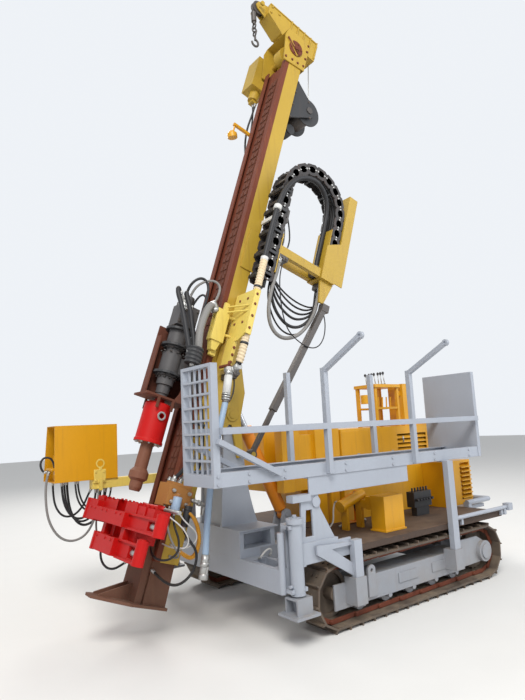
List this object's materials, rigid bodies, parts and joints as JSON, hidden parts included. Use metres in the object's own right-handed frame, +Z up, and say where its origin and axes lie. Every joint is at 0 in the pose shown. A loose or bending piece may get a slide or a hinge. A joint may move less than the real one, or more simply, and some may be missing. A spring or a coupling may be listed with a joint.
{
  "type": "crawler drilling rig",
  "caption": "Crawler rig for drilling water wells: leaning mast with rotary drive and clamps, rod rack, hood and jacks on two tracks.",
  "frame": {"origin": "on the ground under the middle of the running gear, on the mast plane", "axes": "+X to the rear, +Y to the machine's right-hand side, +Z up; the mast leans over the front, -X"},
  "size_m": [4.6149, 2.786, 6.5221],
  "materials": {
    "steel_track": "worn",
    "grey_paint": "satin",
    "yellow_paint": "satin",
    "red_paint": "satin",
    "rust_steel": "matt",
    "black_paint": "satin",
    "orange_paint": "satin",
    "deck_paint": "matt",
    "bright_steel": "polished",
    "dark_steel": "satin",
    "engine_iron": "matt",
    "hose_rubber": "matt"
  },
  "bodies": {
    "chassis": {"arm_bracket": "grey_paint", "chassis_frame": "grey_paint", "console": "yellow_paint", "cooler": "yellow_paint", "cross_members": "grey_paint", "cross_tubes": "grey_paint", "deck": "deck_paint", "engine_block": "engine_iron", "front_beam": "grey_paint", "hood": "yellow_paint", "idler_left": "steel_track", "idler_right": "steel_track", "jack_tube_left": "grey_paint", "jack_tube_right": "grey_paint", "rack_cage": "grey_paint", "rack_end_panel": "grey_paint", "rack_frame": "grey_paint", "rack_posts": "grey_paint", "rack_support": "grey_paint", "rear_bumper": "grey_paint", "sprocket_left": "steel_track", "sprocket_right": "steel_track", "tanks": "yellow_paint", "tower": "grey_paint", "track_frame_left": "grey_paint", "track_frame_right": "grey_paint", "track_left": "steel_track", "track_right": "steel_track", "valve_block": "black_paint", "valve_box": "yellow_paint"},
    "mast": {"mast_beam": "yellow_paint", "mast_guides": "rust_steel", "feed_chain": "rust_steel", "mast_foot": "rust_steel", "mast_head": "yellow_paint", "jib": "yellow_paint", "hook": "dark_steel", "feed_motor": "black_paint", "winch_frame": "black_paint", "work_lamp": "yellow_paint", "mast_cradle": "yellow_paint", "energy_chain": "rust_steel", "chain_hoses": "hose_rubber", "hose_trough": "yellow_paint", "trough_stay": "dark_steel", "clamp_upper": "red_paint", "clamp_lower": "red_paint"},
    "jib_sheave": {"jib_sheave": "dark_steel"},
    "winch_drum": {"winch_drum": "black_paint"},
    "carriage": {"carriage": "rust_steel", "drive_head": "black_paint", "chain_bracket": "yellow_paint"},
    "spindle": {"spindle": "red_paint"},
    "tilt_barrel": {"tilt_barrel": "orange_paint"},
    "tilt_rod": {"tilt_rod": "bright_steel"},
    "jack_leg_left": {"jack_leg_left": "grey_paint"},
    "jack_leg_right": {"jack_leg_right": "grey_paint"},
    "control_arm": {"control_arm": "yellow_paint", "control_box": "yellow_paint"},
    "hood_door": {"hood_door": "yellow_paint"}
  },
  "joints": [
    {"name": "mast_tilt", "type": "hinge", "parent": "chassis", "child": "mast", "pos_m": [-1.474, 0, 1.783], "axis": [0, 1, 0], "range_deg": [-18.6, 62]},
    {"name": "tilt_barrel_swing", "type": "hinge", "parent": "chassis", "child": "tilt_barrel", "pos_m": [-0.772, 0, 0.789], "axis": [0, 1, 0], "range_deg": [-2, 6]},
    {"name": "tilt_rod_stroke", "type": "slide", "parent": "tilt_barrel", "child": "tilt_rod", "axis": [-0.4342, 0, 0.9008], "range_m": [-0.29, 0.09]},
    {"name": "carriage_feed", "type": "slide", "parent": "mast", "child": "carriage", "axis": [0.319, 0, 0.9478], "range_m": [-0.03, 3.05]},
    {"name": "spindle_spin", "type": "hinge", "parent": "carriage", "child": "spindle", "pos_m": [-2.16784, 0, 1.70849], "axis": [0.319, 0, 0.9478], "continuous": true},
    {"name": "winch_spin", "type": "hinge", "parent": "mast", "child": "winch_drum", "pos_m": [-0.1916, 0, 5.26385], "axis": [0, 1, 0], "continuous": true},
    {"name": "sheave_spin", "type": "hinge", "parent": "mast", "child": "jib_sheave", "pos_m": [-0.74572, 0, 6.44214], "axis": [0, 1, 0], "continuous": true},
    {"name": "jack_left_stroke", "type": "slide", "parent": "chassis", "child": "jack_leg_left", "axis": [0, 0, -1], "range_m": [0, 0.23]},
    {"name": "jack_right_stroke", "type": "slide", "parent": "chassis", "child": "jack_leg_right", "axis": [0, 0, -1], "range_m": [0, 0.23]},
    {"name": "control_arm_swing", "type": "hinge", "parent": "chassis", "child": "control_arm", "pos_m": [-1.33, 0.9, 1.19], "axis": [0, 0, 1], "range_deg": [-90, 0]},
    {"name": "hood_door_swing", "type": "hinge", "parent": "chassis", "child": "hood_door", "pos_m": [0.15, 0.868, 1.13], "axis": [0, 0, 1], "range_deg": [0, 110]}
  ],
  "couplings": [
    {"joint": "tilt_barrel_swing", "follows": "mast_tilt", "ratio": 0.085},
    {"joint": "tilt_rod_stroke", "follows": "mast_tilt", "m_per_rad": -0.24}
  ]
}
